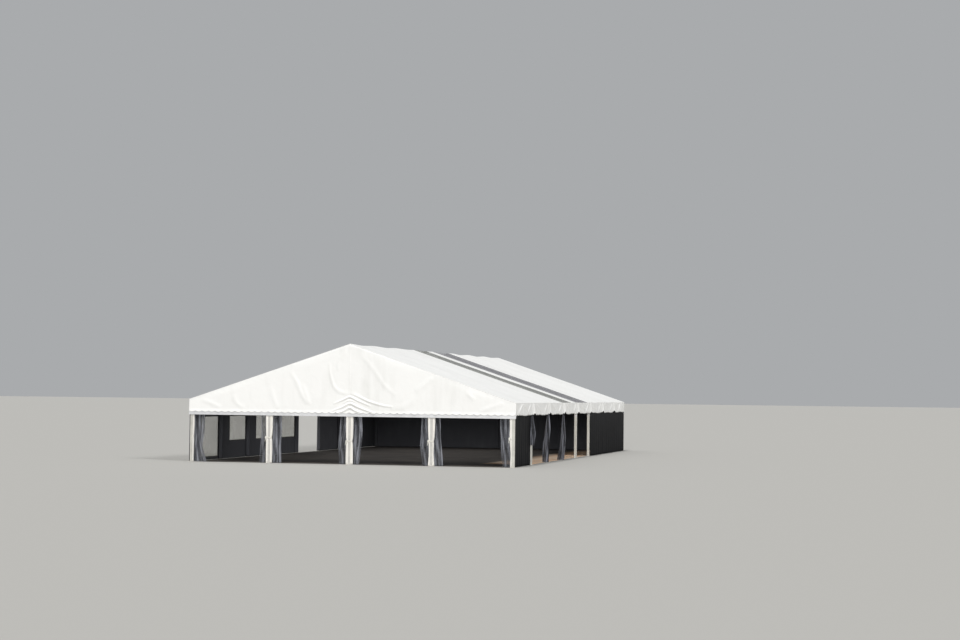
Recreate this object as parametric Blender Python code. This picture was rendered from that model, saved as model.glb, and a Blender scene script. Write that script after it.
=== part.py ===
"""A frame marquee, 12 m wide and 24 m long, with a gable at each end.

Metres, +Z up. The origin is on the ground, at the middle of the floor plan. The front gable faces -Y,
and left and right are as seen from there. Nine aluminium portal frames stand three metres apart. They
carry a ridge purlin, a rail along each eave, and a canopy of white sheets laid from eave to eave.
"""

import math

import bmesh
import bpy

# Plan and heights
WIDTH = 12.0  # over the outer faces of the legs
BAY = 3.0  # from frame to frame, along the sides
BAYS = 8
END_BAYS = 4  # between the corner legs of a gable end
EAVE_HEIGHT = 2.25  # top of the canopy at its edge
RIDGE_HEIGHT = 4.28  # top of the canopy at the ridge

# Aluminium frame
FRAME_DEPTH = 0.10  # of a leg or rafter, across the marquee
FRAME_WIDTH = 0.07  # of a leg or rafter, along the marquee
POST_WIDTH = 0.08  # of a gable post, across the marquee
POST_LET_IN = 0.01  # how far a gable post stands into the rail before it
PURLIN_SIZE = 0.06
RAIL_DEPTH = 0.04  # how far a rail stands out from the legs
RAIL_HEIGHT = 0.14
RAIL_DROP = 0.55  # from the canopy's edge down to the underside of the rail across a gable end
EAVE_RAIL_DROP = 0.35  # the same for the rail along an eave
INNER_RAIL_DEPTH = 0.06  # the bar behind the gable posts, which carries the drapes
INNER_RAIL_HEIGHT = 0.04
PLATE_SIZE = 0.20
PLATE_OUTSTAND = 0.05  # how far a leg's base plate reaches beyond its outer face
PLATE_THICKNESS = 0.010

# Fabric
SHEET = 0.004  # thickness of coated fabric
PANE = 0.003  # thickness of the clear window film
VALANCE_DROP = 0.44  # from the canopy's edge to the tips of the scallops
SCALLOP_PITCH = 0.25
SCALLOP_DEPTH = 0.045
SCALLOP_SEGMENTS = 4
FIRST_LIGHT_START = 8.5  # from the front frame to the first clear strip sewn into the canopy
LIGHT_WIDTHS = (2.0, 2.75)
LIGHT_SPACING = 1.0  # white cloth between the clear strips

# Walls
WALL_CLEARANCE = 0.02  # from the ground to the hem
WALL_SETBACK = 0.012  # from a rail's outer face to the wall under it
WINDOW_NEAR_MARGIN = 1.12  # from a frame to the window in the bay behind it
WINDOW_FAR_MARGIN = 0.18  # from that window to the next frame
WINDOW_SILL = 0.70
TALL_WINDOW_SILL = 0.14
WINDOW_HEAD_DROP = 0.30  # from the underside of the eave rail to the head of a window
PANE_LAP = 0.03  # how far the film laps over the wall round a window
WINDOW_BAYS = 4  # the left wall's front bays have windows
OPEN_LEFT_BAY = 4  # counted from 0: this bay of the left side has no wall
RIGHT_REAR_BAY = 5  # counted from 0: black curtains close the right side from this bay to the back

# Curtains tied back at the front posts
CURTAIN_REACH = 0.08  # of a bunched curtain beside its post
CURTAIN_FRONT = 0.025  # how far it stands out before the post
CURTAIN_BACK = 0.016  # thickness of what passes behind the post
CURTAIN_HEM = 0.03
TIE_HEIGHT = 0.95
CURTAIN_SPREAD = (0.8, 0.9, 0.75, 1.05, 1.0)  # share of the reach, from hem to rail

# Dark drapes, hung in pleats
DRAPE_WIDTH = 0.92  # behind a gable post
CORNER_DRAPE_WIDTH = 0.36
PLEAT_DEPTH = 0.05
PLEAT_PITCH = 0.058
FEWEST_PLEATS = 2  # in any drape
DRAPE_THICKNESS = 0.016
DRAPE_HEM = 0.03
SIDE_DRAPE_TOP_WIDTH = 0.16
SIDE_DRAPE_HEM_WIDTHS = (0.22, 0.30, 0.36)  # at the first, second and third frame behind the front
SIDE_DRAPE_HEMS = (0.72, 0.04, 0.04)

# Inside
LINING = 0.004
LINING_INSET = 0.05  # from the legs' inner faces to the lining's edge
MAT_THICKNESS = 0.012
GAP = 0.0003  # between pieces that touch

LENGTH = BAY * BAYS
HALF_WIDTH = WIDTH / 2
HALF_LENGTH = LENGTH / 2
FRAME_FACE = HALF_LENGTH + FRAME_WIDTH / 2  # outer face of the end frames
RAIL_FACE_X = HALF_WIDTH + GAP + RAIL_DEPTH
RAIL_FACE_Y = FRAME_FACE + GAP + RAIL_DEPTH
EDGE_X = RAIL_FACE_X + GAP + SHEET  # outer face of the side valances
EDGE_Y = RAIL_FACE_Y + GAP + SHEET  # outer face of the gables
SLOPE = (RIDGE_HEIGHT - EAVE_HEIGHT) / EDGE_X
UPRIGHT = math.sqrt(1 + SLOPE**2)  # a thickness square to the roof, measured plumb
SCALLOP_TIP = EAVE_HEIGHT - VALANCE_DROP
RAIL_BOTTOM = EAVE_HEIGHT - RAIL_DROP
RAIL_TOP = RAIL_BOTTOM + RAIL_HEIGHT
LEG_INNER = HALF_WIDTH - FRAME_DEPTH
CURTAIN_HEAD = RAIL_BOTTOM - GAP  # what hangs in a gable end
EAVE_RAIL_BOTTOM = EAVE_HEIGHT - EAVE_RAIL_DROP
WALL_HEAD = EAVE_RAIL_BOTTOM - GAP  # what hangs along a side
WINDOW_HEAD = EAVE_RAIL_BOTTOM - WINDOW_HEAD_DROP
PLATE_CENTRE = HALF_WIDTH + PLATE_OUTSTAND - PLATE_SIZE / 2  # x of a leg's base plate
DRAPE_DEPTH = PLEAT_DEPTH + DRAPE_THICKNESS
AT_MIDDLE = 1e-6  # nearer than this to the middle counts as there
SAME_POINT = 1e-5  # corners nearer than this are one


def finish_of(name, colour, roughness, metallic=0.0, alpha=1.0):
    """A Principled material of one colour."""
    material = bpy.data.materials.new(name)
    material.use_nodes = True
    shader = material.node_tree.nodes["Principled BSDF"]
    shader.inputs["Base Color"].default_value = (*colour, 1.0)
    shader.inputs["Roughness"].default_value = roughness
    shader.inputs["Metallic"].default_value = metallic
    shader.inputs["Alpha"].default_value = alpha
    material.diffuse_color = (*colour, alpha)
    return material


def finishes():
    return {
        "white_pvc": finish_of("white_pvc", (0.87, 0.87, 0.85), 0.45),
        "clear_pvc": finish_of("clear_pvc", (0.32, 0.33, 0.34), 0.2, alpha=0.6),
        "aluminium": finish_of("aluminium", (0.62, 0.62, 0.60), 0.4, metallic=0.9),
        "black_pvc": finish_of("black_pvc", (0.012, 0.012, 0.014), 0.6),
        "curtain": finish_of("curtain", (0.85, 0.84, 0.80), 0.6),
        "sheer": finish_of("sheer", (0.05, 0.055, 0.08), 0.9),
        "lining": finish_of("lining", (0.010, 0.010, 0.013), 0.95),
        "coir": finish_of("coir", (0.33, 0.16, 0.07), 0.95),
    }


def object_from(form, name, material):
    """Turns a bmesh into a named object with outward faces, and frees it."""
    bmesh.ops.recalc_face_normals(form, faces=form.faces)
    mesh = bpy.data.meshes.new(name)
    form.to_mesh(mesh)
    form.free()
    mesh.materials.append(material)
    made = bpy.data.objects.new(name, mesh)
    bpy.context.scene.collection.objects.link(made)
    return made


def thicken(form, across):
    """Extrudes every face of a flat form by the vector across, which closes it."""
    grown = bmesh.ops.extrude_face_region(form, geom=list(form.faces), use_keep_orig=True)
    moved = [item for item in grown["geom"] if isinstance(item, bmesh.types.BMVert)]
    bmesh.ops.translate(form, verts=moved, vec=across)


def prism(name, outline, axis, start, end, material):
    """A flat outline carried straight along an axis. Its points are (y, z), (x, z) or (x, y)."""
    place = {
        "X": lambda a, b: (start, a, b),
        "Y": lambda a, b: (a, start, b),
        "Z": lambda a, b: (a, b, start),
    }[axis]
    across = [end - start if letter == axis else 0.0 for letter in "XYZ"]
    form = bmesh.new()
    form.faces.new([form.verts.new(place(a, b)) for a, b in outline])
    thicken(form, across)
    return object_from(form, name, material)


def block(name, low, high, material):
    """A plain box from its lowest to its highest corner."""
    outline = [(low[0], low[1]), (high[0], low[1]), (high[0], high[1]), (low[0], high[1])]
    return prism(name, outline, "Z", low[2], high[2], material)


def join(body, others):
    """Fuses other objects into one body and hides them."""
    for other in others:
        modifier = body.modifiers.new(other.name, "BOOLEAN")
        modifier.operation = "UNION"
        modifier.solver = "EXACT"
        modifier.object = other
        other.hide_render = True
        other.display_type = "WIRE"
    return body


def cut(body, cutter):
    """Cuts one object out of another and hides the cutter."""
    modifier = body.modifiers.new(cutter.name, "BOOLEAN")
    modifier.operation = "DIFFERENCE"
    modifier.solver = "EXACT"
    modifier.object = cutter
    cutter.hide_render = True
    cutter.display_type = "WIRE"
    return body


def loft(name, rings, material):
    """Bridges rings of points, lowest first, and caps both ends."""
    form = bmesh.new()
    loops = []
    for ring in rings:
        corners = [form.verts.new(point) for point in ring]
        loops.append([form.edges.new((a, b)) for a, b in zip(corners, corners[1:] + corners[:1])])
        if ring is rings[0] or ring is rings[-1]:
            form.faces.new(corners)
    for lower, upper in zip(loops, loops[1:]):
        bmesh.ops.bridge_loops(form, edges=lower + upper)
    return object_from(form, name, material)


def roof_top(x):
    """Height of the canopy's upper face at x."""
    return RIDGE_HEIGHT - SLOPE * abs(x)


def rafter_top(x):
    return roof_top(x) - (SHEET + GAP) * UPRIGHT


def rafter_bottom(x):
    return rafter_top(x) - FRAME_DEPTH * UPRIGHT


def frame_y(number):
    """Where a portal frame stands, counted from 0 at the front."""
    return -HALF_LENGTH + BAY * number


def base_plate(name, x, y, material):
    half = PLATE_SIZE / 2
    return block(name, (x - half, y - half, 0), (x + half, y + half, PLATE_THICKNESS), material)


def portal_frame(number, material):
    """Two legs and two rafters in one outline, on base plates."""
    name = f"frame_{number + 1}"
    y = frame_y(number)
    right = [
        (HALF_WIDTH, rafter_top(HALF_WIDTH)),
        (HALF_WIDTH, PLATE_THICKNESS / 2),
        (LEG_INNER, PLATE_THICKNESS / 2),
        (LEG_INNER, rafter_bottom(LEG_INNER)),
    ]
    left = [(-x, z) for x, z in reversed(right)]
    outline = [(0, rafter_top(0)), *right, (0, rafter_bottom(0)), *left]
    frame = prism(name, outline, "Y", y - FRAME_WIDTH / 2, y + FRAME_WIDTH / 2, material)
    plates = [
        base_plate(f"{name}_plate_{side}", side * PLATE_CENTRE, y, material) for side in (-1, 1)
    ]
    return join(frame, plates)


def gable_post_places():
    """x of each post between the corner legs of a gable end."""
    return [-HALF_WIDTH + WIDTH / END_BAYS * number for number in range(1, END_BAYS)]


def gable_rail(name, end, material):
    """The rail across the faces of a gable end's legs and posts, where end is -1 or 1 as y is."""
    across = sorted((end * (FRAME_FACE + GAP), end * RAIL_FACE_Y))
    low = (-RAIL_FACE_X, across[0], RAIL_BOTTOM)
    return block(name, low, (RAIL_FACE_X, across[1], RAIL_TOP), material)


def gable_post(name, x, end, outer_face, material):
    """A post of a gable end, on a base plate, up to the underside of the end rafter."""
    across = sorted((end * outer_face, end * (HALF_LENGTH - FRAME_WIDTH / 2)))
    half = POST_WIDTH / 2
    top = rafter_bottom(abs(x) + half) - GAP
    low = (x - half, across[0], PLATE_THICKNESS / 2)
    post = block(name, low, (x + half, across[1], top), material)
    return join(post, [base_plate(f"{name}_plate", x, end * HALF_LENGTH, material)])


def front_gable_frame(material):
    """The front posts, welded to the rail before them and to the drape bar behind them."""
    rail = gable_rail("front_gable_frame", -1, material)
    others = [
        gable_post(f"front_post_{number + 1}", x, -1, FRAME_FACE + POST_LET_IN, material)
        for number, x in enumerate(gable_post_places())
    ]
    bar_end = LEG_INNER - GAP
    bar_face = -HALF_LENGTH + FRAME_WIDTH / 2
    low = (-bar_end, bar_face - GAP, RAIL_BOTTOM)
    high = (bar_end, bar_face + INNER_RAIL_DEPTH, RAIL_BOTTOM + INNER_RAIL_HEIGHT)
    return join(rail, [*others, block("drape_bar", low, high, material)])


def back_gable_frame(material):
    """The back rail, and the posts behind its inner face."""
    gable_rail("back_gable_rail", 1, material)
    for number, x in enumerate(gable_post_places()):
        gable_post(f"back_post_{number + 1}", x, 1, FRAME_FACE, material)


def side_rail(name, side, material):
    """The rail along an eave, bolted to the outer faces of the legs."""
    across = sorted((side * (HALF_WIDTH + GAP), side * RAIL_FACE_X))
    low = (across[0], -FRAME_FACE, EAVE_RAIL_BOTTOM)
    high = (across[1], FRAME_FACE, EAVE_RAIL_BOTTOM + RAIL_HEIGHT)
    return block(name, low, high, material)


def ridge_purlin(material):
    """A tube under the peaks of the rafters, between the middle gable posts."""
    end = HALF_LENGTH - FRAME_WIDTH / 2 - GAP
    half = PURLIN_SIZE / 2
    top = rafter_bottom(half) - GAP
    return block("ridge_purlin", (-half, -end, top - PURLIN_SIZE), (half, end, top), material)


def peaked_sheet(name, peak, reach, thickness, start, end, material):
    """A sheet folded over the ridge: its top is at peak, falling with the roof out to reach."""
    plumb = thickness * UPRIGHT
    edge = peak - SLOPE * reach
    outline = [
        (-reach, edge),
        (0, peak),
        (reach, edge),
        (reach, edge - plumb),
        (0, peak - plumb),
        (-reach, edge - plumb),
    ]
    return prism(name, outline, "Y", start, end, material)


def light_spans():
    """Start and end of each clear strip, along the marquee."""
    spans = []
    start = -HALF_LENGTH + FIRST_LIGHT_START
    for width in LIGHT_WIDTHS:
        spans.append((start, start + width))
        start += width + LIGHT_SPACING
    return spans


def canopy(material, clear):
    """White sheets joined over the frames, except where the clear strips run."""
    lights = light_spans()
    for number, (start, end) in enumerate(lights):
        name = f"roof_light_{number + 1}"
        peaked_sheet(name, RIDGE_HEIGHT, EDGE_X, SHEET, start, end - GAP, clear)
    edges = [edge for span in lights for edge in span]
    joints = [
        frame_y(number)
        for number in range(1, BAYS)
        if not any(start - BAY / 2 < frame_y(number) < end + BAY / 2 for start, end in lights)
    ]
    starts = sorted([-EDGE_Y, *edges, *joints])
    ends = [start - GAP for start in starts[1:]] + [EDGE_Y]
    light_starts = [start for start, _ in lights]
    whites = [span for span in zip(starts, ends) if span[0] not in light_starts]
    for number, (start, end) in enumerate(whites):
        peaked_sheet(f"roof_sheet_{number + 1}", RIDGE_HEIGHT, EDGE_X, SHEET, start, end, material)


def scalloped(name, length, top, place, across, material):
    """A flat sheet, centred on 0 along its length, with round scallops along its lower edge.

    Each scallop is a column of cloth: top(along) is its upper edge, and place(along, z) the point.
    """
    count = round(length / SCALLOP_PITCH)
    pitch = length / count
    form = bmesh.new()
    for number in range(count):
        start = -length / 2 + pitch * number
        lower = []
        for step in range(SCALLOP_SEGMENTS + 1):
            share = step / SCALLOP_SEGMENTS
            drop = SCALLOP_DEPTH * math.sin(math.pi * share)
            lower.append((start + pitch * share, SCALLOP_TIP + SCALLOP_DEPTH - drop))
        edge = [start + pitch]
        if start < -AT_MIDDLE and start + pitch > AT_MIDDLE:
            edge.append(0.0)  # a column under the peak
        edge.append(start)
        upper = [(along, top(along)) for along in edge]
        form.faces.new([form.verts.new(place(*point)) for point in lower + upper])
    bmesh.ops.remove_doubles(form, verts=form.verts, dist=SAME_POINT)
    thicken(form, across)
    return object_from(form, name, material)


def side_valance(name, side, material):
    """The scalloped strip that hangs from the canopy's edge, outside the eave rail."""
    inner = side * (RAIL_FACE_X + GAP)
    hung = roof_top(EDGE_X) - (SHEET + GAP) * UPRIGHT

    def top(along):
        return hung

    def place(along, z):
        return (inner, along, z)

    return scalloped(name, 2 * RAIL_FACE_Y, top, place, (side * SHEET, 0, 0), material)


def gable(name, end, material):
    """The triangle of cloth under the end of the canopy, down to its own row of scallops."""
    inner = end * (RAIL_FACE_Y + GAP)

    def top(along):
        return roof_top(along) - (SHEET + GAP) * UPRIGHT

    def place(along, z):
        return (along, inner, z)

    return scalloped(name, 2 * EDGE_X, top, place, (0, end * SHEET, 0), material)


def side_wall(name, side, start, end, material):
    """A wall panel or a curtain hung under an eave rail."""
    outer = RAIL_FACE_X - WALL_SETBACK
    across = sorted((side * outer, side * (outer - SHEET)))
    return block(name, (across[0], start, WALL_CLEARANCE), (across[1], end, WALL_HEAD), material)


def window_wall(bay, sill, material, clear):
    """A left wall panel with a window cut through it, and the film welded on behind it."""
    start = frame_y(bay) if bay else -FRAME_FACE
    wall = side_wall(f"left_wall_{bay + 1}", -1, start, frame_y(bay + 1) - GAP, material)
    near = frame_y(bay) + WINDOW_NEAR_MARGIN
    far = frame_y(bay + 1) - WINDOW_FAR_MARGIN
    outer = -(RAIL_FACE_X - WALL_SETBACK)
    inner = outer + SHEET
    low = (outer - SHEET, near, sill)
    cut(wall, block(f"window_cutter_{bay + 1}", low, (inner + SHEET, far, WINDOW_HEAD), clear))
    low = (inner + GAP, near - PANE_LAP, sill - PANE_LAP)
    high = (inner + GAP + PANE, far + PANE_LAP, WINDOW_HEAD + PANE_LAP)
    block(f"left_window_{bay + 1}", low, high, clear)


def right_front_curtain(name, material):
    """The black curtain between the legs of the first bay, from the corner leg to the side drape."""
    hung_at = (LEG_INNER + HALF_WIDTH) / 2
    start = frame_y(0) + FRAME_WIDTH / 2 + GAP
    end = side_drape_back(1) - DRAPE_DEPTH - GAP
    low = (hung_at - SHEET / 2, start, WALL_CLEARANCE)
    return block(name, low, (hung_at + SHEET / 2, end, WALL_HEAD), material)


def walls(white, black, clear):
    """The left, right and back walls. The fifth bay on the left, and four on the right, stay open."""
    for bay in range(WINDOW_BAYS):
        window_wall(bay, WINDOW_SILL if bay else TALL_WINDOW_SILL, white, clear)
    side_wall("left_wall_rear", -1, frame_y(OPEN_LEFT_BAY + 1), FRAME_FACE, white)
    right_front_curtain("right_wall_front", black)
    side_wall("right_wall_rear", 1, frame_y(RIGHT_REAR_BAY), FRAME_FACE, black)
    outer = RAIL_FACE_Y - WALL_SETBACK
    reach = RAIL_FACE_X - WALL_SETBACK
    block("back_wall", (-reach, outer - SHEET, WALL_CLEARANCE), (reach, outer, CURTAIN_HEAD), white)


def curtain_heights():
    return (CURTAIN_HEM, TIE_HEIGHT / 2, TIE_HEIGHT, (TIE_HEIGHT + CURTAIN_HEAD) / 2, CURTAIN_HEAD)


def post_curtain(name, x, material):
    """A white curtain bunched behind a gable post, with a lobe on each side of it."""
    front = -FRAME_FACE - POST_LET_IN - CURTAIN_FRONT / 2
    back = -HALF_LENGTH + FRAME_WIDTH / 2 + GAP
    side = POST_WIDTH / 2 + GAP
    rings = []
    for height, share in zip(curtain_heights(), CURTAIN_SPREAD):
        reach = side + CURTAIN_REACH * share
        middle = (side + reach) / 2
        right = [
            (side, back),
            (side, front + CURTAIN_FRONT / 2),
            (middle, front),
            (reach, front + CURTAIN_FRONT),
            (reach - CURTAIN_FRONT / 2, (front + back) / 2),
            (reach, back),
            (middle, back + CURTAIN_BACK),
        ]
        left = [(-a, b) for a, b in reversed(right)]
        rings.append([(x + a, b, height) for a, b in right + left])
    return loft(name, rings, material)


def corner_curtain(name, side, material):
    """The same curtain at a corner leg, on its inner side only."""
    front = -FRAME_FACE - CURTAIN_FRONT
    back = -HALF_LENGTH + FRAME_WIDTH / 2
    rings = []
    for height, share in zip(curtain_heights(), CURTAIN_SPREAD):
        near = LEG_INNER - GAP
        far = near - CURTAIN_REACH * share
        outline = [
            (near, back),
            (near, front + CURTAIN_FRONT),
            ((near + far) / 2, front),
            (far, front + CURTAIN_FRONT),
            (far + CURTAIN_FRONT / 2, (front + back) / 2),
            (far, back),
        ]
        rings.append([(side * a, b, height) for a, b in outline])
    return loft(name, rings, material)


def pleated_ring(centre_x, centre_y, width, pleats, height):
    """A strip of cloth in pleats, seen from above, as a closed ring of points."""
    steps = 2 * pleats
    near, far = [], []
    for step in range(steps + 1):
        x = centre_x - width / 2 + width * step / steps
        fold = PLEAT_DEPTH / 2 if step % 2 else -PLEAT_DEPTH / 2
        near.append((x, centre_y + fold - DRAPE_THICKNESS / 2, height))
        far.append((x, centre_y + fold + DRAPE_THICKNESS / 2, height))
    return near + far[::-1]


def front_drape(number, low_x, high_x, material):
    """A dark drape hung in pleats from the bar behind the front gable posts."""
    nearest = -HALF_LENGTH + FRAME_WIDTH / 2 + GAP + CURTAIN_BACK + GAP
    centre_y = nearest + DRAPE_DEPTH / 2
    centre_x = (low_x + high_x) / 2
    width = high_x - low_x
    pleats = max(FEWEST_PLEATS, round(width / PLEAT_PITCH / 2))
    rings = [
        pleated_ring(centre_x, centre_y, width, pleats, height)
        for height in (DRAPE_HEM, (DRAPE_HEM + CURTAIN_HEAD) / 2, CURTAIN_HEAD)
    ]
    return loft(f"front_drape_{number}", rings, material)


def side_drape_back(number):
    """y of the back of the drape that hangs before a frame."""
    return frame_y(number) - FRAME_WIDTH / 2 - GAP


def side_drape(number, hem_width, hem, material):
    """A dark drape gathered under the right eave rail, before the leg of a frame."""
    centre_y = side_drape_back(number) - DRAPE_DEPTH / 2
    pleats = max(FEWEST_PLEATS, round(hem_width / PLEAT_PITCH / 2))
    outer = HALF_WIDTH + RAIL_DEPTH / 2
    top = pleated_ring(outer - SIDE_DRAPE_TOP_WIDTH / 2, centre_y, SIDE_DRAPE_TOP_WIDTH, pleats, WALL_HEAD)
    low = pleated_ring(outer - hem_width / 2, centre_y, hem_width, pleats, hem)
    return loft(f"side_drape_{number}", [low, top], material)


def hangings(curtain, sheer):
    """White curtains and dark drapes at the front posts, and drapes along the right side."""
    posts = gable_post_places()
    corner_curtain("front_curtain_1", -1, curtain)
    for number, x in enumerate(posts):
        post_curtain(f"front_curtain_{number + 2}", x, curtain)
    corner_curtain(f"front_curtain_{END_BAYS + 1}", 1, curtain)
    corner = LEG_INNER - GAP
    front_drape(1, -corner, -corner + CORNER_DRAPE_WIDTH, sheer)
    for number, x in enumerate(posts):
        front_drape(number + 2, x - DRAPE_WIDTH / 2, x + DRAPE_WIDTH / 2, sheer)
    front_drape(END_BAYS + 1, corner - CORNER_DRAPE_WIDTH, corner, sheer)
    for number, (width, hem) in enumerate(zip(SIDE_DRAPE_HEM_WIDTHS, SIDE_DRAPE_HEMS)):
        side_drape(number + 1, width, hem, sheer)


def ceiling_lining(material):
    """A black lining under the rafters, which hangs from the ridge purlin."""
    peak = rafter_bottom(PURLIN_SIZE / 2) - GAP - PURLIN_SIZE - GAP
    reach = LEG_INNER - LINING_INSET
    end = HALF_LENGTH - FRAME_WIDTH / 2 - INNER_RAIL_DEPTH - GAP
    return peaked_sheet("ceiling_lining", peak, reach, LINING, -end, end, material)


def floor_matting(material):
    """Coir matting laid on the ground, up to the edges of the base plates."""
    reach = PLATE_CENTRE - PLATE_SIZE / 2 - GAP
    end = HALF_LENGTH - PLATE_SIZE / 2 - GAP
    return block("floor_matting", (-reach, -end, 0), (reach, end, MAT_THICKNESS), material)


def main():
    for old in list(bpy.data.objects):
        bpy.data.objects.remove(old)
    finish = finishes()
    for number in range(BAYS + 1):
        portal_frame(number, finish["aluminium"])
    front_gable_frame(finish["aluminium"])
    back_gable_frame(finish["aluminium"])
    side_rail("left_eave_rail", -1, finish["aluminium"])
    side_rail("right_eave_rail", 1, finish["aluminium"])
    ridge_purlin(finish["aluminium"])
    canopy(finish["white_pvc"], finish["clear_pvc"])
    side_valance("left_valance", -1, finish["white_pvc"])
    side_valance("right_valance", 1, finish["white_pvc"])
    gable("front_gable", -1, finish["white_pvc"])
    gable("back_gable", 1, finish["white_pvc"])
    walls(finish["white_pvc"], finish["black_pvc"], finish["clear_pvc"])
    hangings(finish["curtain"], finish["sheer"])
    ceiling_lining(finish["lining"])
    floor_matting(finish["coir"])


main()
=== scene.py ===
"""The looks of a frame marquee, 12 m wide and 24 m long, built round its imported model.

Metres, +Z up, the front gable faces -Y. Each new piece is a grid of points worked out with numpy: rows and
columns of a function of two parameters, or a profile carried along a path. Cloth gets its thickness from a
Solidify modifier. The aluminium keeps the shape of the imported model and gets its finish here.
"""
import math
from functools import partial

import bpy
import numpy as np
from mathutils import Matrix, Vector


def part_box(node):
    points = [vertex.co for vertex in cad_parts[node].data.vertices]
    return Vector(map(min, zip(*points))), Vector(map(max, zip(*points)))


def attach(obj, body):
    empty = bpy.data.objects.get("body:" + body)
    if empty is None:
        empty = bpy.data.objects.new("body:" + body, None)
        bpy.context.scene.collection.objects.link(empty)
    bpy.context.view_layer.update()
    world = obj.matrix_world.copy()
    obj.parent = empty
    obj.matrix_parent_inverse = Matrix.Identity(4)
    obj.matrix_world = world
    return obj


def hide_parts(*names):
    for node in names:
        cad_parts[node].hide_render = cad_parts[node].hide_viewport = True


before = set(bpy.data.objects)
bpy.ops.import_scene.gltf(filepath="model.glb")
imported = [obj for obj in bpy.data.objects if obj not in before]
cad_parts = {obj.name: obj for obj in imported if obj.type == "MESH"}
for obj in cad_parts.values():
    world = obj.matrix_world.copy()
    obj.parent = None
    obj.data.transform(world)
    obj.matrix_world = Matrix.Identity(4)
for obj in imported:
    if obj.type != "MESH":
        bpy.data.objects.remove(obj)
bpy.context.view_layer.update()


def middle(node, axis):
    """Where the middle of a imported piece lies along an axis, 0 for X, 1 for Y, 2 for Z."""
    low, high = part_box(node)
    return (low[axis] + high[axis]) / 2


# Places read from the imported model
FRAME_Y = np.array([middle(f"frame_{number}", 1) for number in range(1, 10)])
BAYS = len(FRAME_Y) - 1
BAY = FRAME_Y[1] - FRAME_Y[0]
EDGE_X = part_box("right_valance")[1].x  # outer face of the side valances
EDGE_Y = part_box("back_gable")[1].y  # outer face of the gables
RIDGE_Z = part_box("roof_sheet_1")[1].z
EAVE_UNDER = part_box("roof_sheet_1")[0].z  # underside of the canopy at its edge
HEM_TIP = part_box("front_gable")[0].z  # tips of the scallops
RAIL_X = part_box("right_eave_rail")[1].x
RAIL_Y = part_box("back_gable_rail")[1].y
RAIL_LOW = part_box("back_gable_rail")[0].z
WALL_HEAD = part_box("left_wall_2")[1].z
BACK_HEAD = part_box("back_wall")[1].z
POST_X = [middle(f"back_post_{number}", 0) for number in (1, 2, 3)]
LEG_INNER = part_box("front_curtain_5")[1].x  # inner face of a leg
LEG_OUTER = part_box("right_eave_rail")[0].x
CURTAIN_FRONT, CURTAIN_BACK = (corner.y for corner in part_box("front_curtain_3"))
POST_HALF = 0.042  # from the middle of a gable post to the cloth beside it
FRAME_HALF = 0.035  # half the thickness of a frame's bars and of the gable posts

# Cloth
CLOTH = 0.002  # drawn thickness of coated cloth, which is 0.7 mm
THIN = 0.001  # and of film, curtains and covers
VOILE_THIN = 0.0006
LINING_THICK = 0.0015
MAT_THICK = 0.009
TAPE_THICK = 0.0012  # of the flat tape round a window
CLEAR = 0.003  # from a rail to the cloth that hangs before it
EAVE_Z = EAVE_UNDER + 0.0042  # top of the canopy at its edge
SLOPE = (RIDGE_Z - EAVE_Z) / EDGE_X
UPRIGHT = math.sqrt(1 + SLOPE**2)
RIDGE_ROUND = 0.004  # radius that the canopy turns over a rafter's peak
RIDGE_ROUND_FREE = 0.03  # and midway between frames
SAG = (0.014, 0.026, 0.006)  # midway between frames: at the ridge, half way down and at the eave
BAY_SAG = np.array([0.8, 0.8, 0.6, 0.5, 0.8, 1.5, 1.7, 1.3])  # share of it, bay by bay from the front
HEM_CLEAR = 0.004  # from the ground to the hem of a wall or a drape
BILLOW = 0.006
LAP = 0.035  # width of the welded lap at each side of a joint in the canopy
LAP_RISE = 0.0025
SCALLOP_PITCH = 0.25
SCALLOP_DEPTH = 0.045
SCALLOP_STEPS = 8
FINE_SCALLOP_STEPS = 16  # where the cloth is creased


def join(*parts):
    """Points or flat places, joined from arrays of their coordinates."""
    return np.stack(np.broadcast_arrays(*parts), axis=-1)


def unit(ways):
    """Vectors brought to a length of 1."""
    return ways / np.linalg.norm(ways, axis=-1, keepdims=True)


def distance_along(path):
    """How far along a path each of its points lies."""
    return np.r_[0, np.cumsum(np.linalg.norm(np.diff(path, axis=0), axis=-1))]


def bell(distance, half_width, power=2):
    """A bell-shaped rise: exp(-(distance / half width) to the power)."""
    return np.exp(-((distance / half_width) ** power))


def smooth_step(value):
    """0 below 0, 1 above 1, and an S curve between them."""
    share = np.clip(value, 0, 1)
    return share * share * (3 - 2 * share)


def smooth_line(points, steps=8):
    """A Catmull-Rom curve through a few points, as an array of points along it."""
    points = np.array(points, float)
    padded = np.vstack([2 * points[0] - points[1], points, 2 * points[-1] - points[-2]])
    before, start, end, after = padded[:-3], padded[1:-2], padded[2:-1], padded[3:]
    share = np.linspace(0, 1, steps, endpoint=False)[None, :, None]
    before, start, end, after = (part[:, None, :] for part in (before, start, end, after))
    curve = 0.5 * (
        2 * start
        + (end - before) * share
        + (2 * before - 5 * start + 4 * end - after) * share**2
        + (3 * start - before - 3 * end + after) * share**3
    )
    return np.vstack([curve.reshape(-1, points.shape[1]), points[-1:]])


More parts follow.
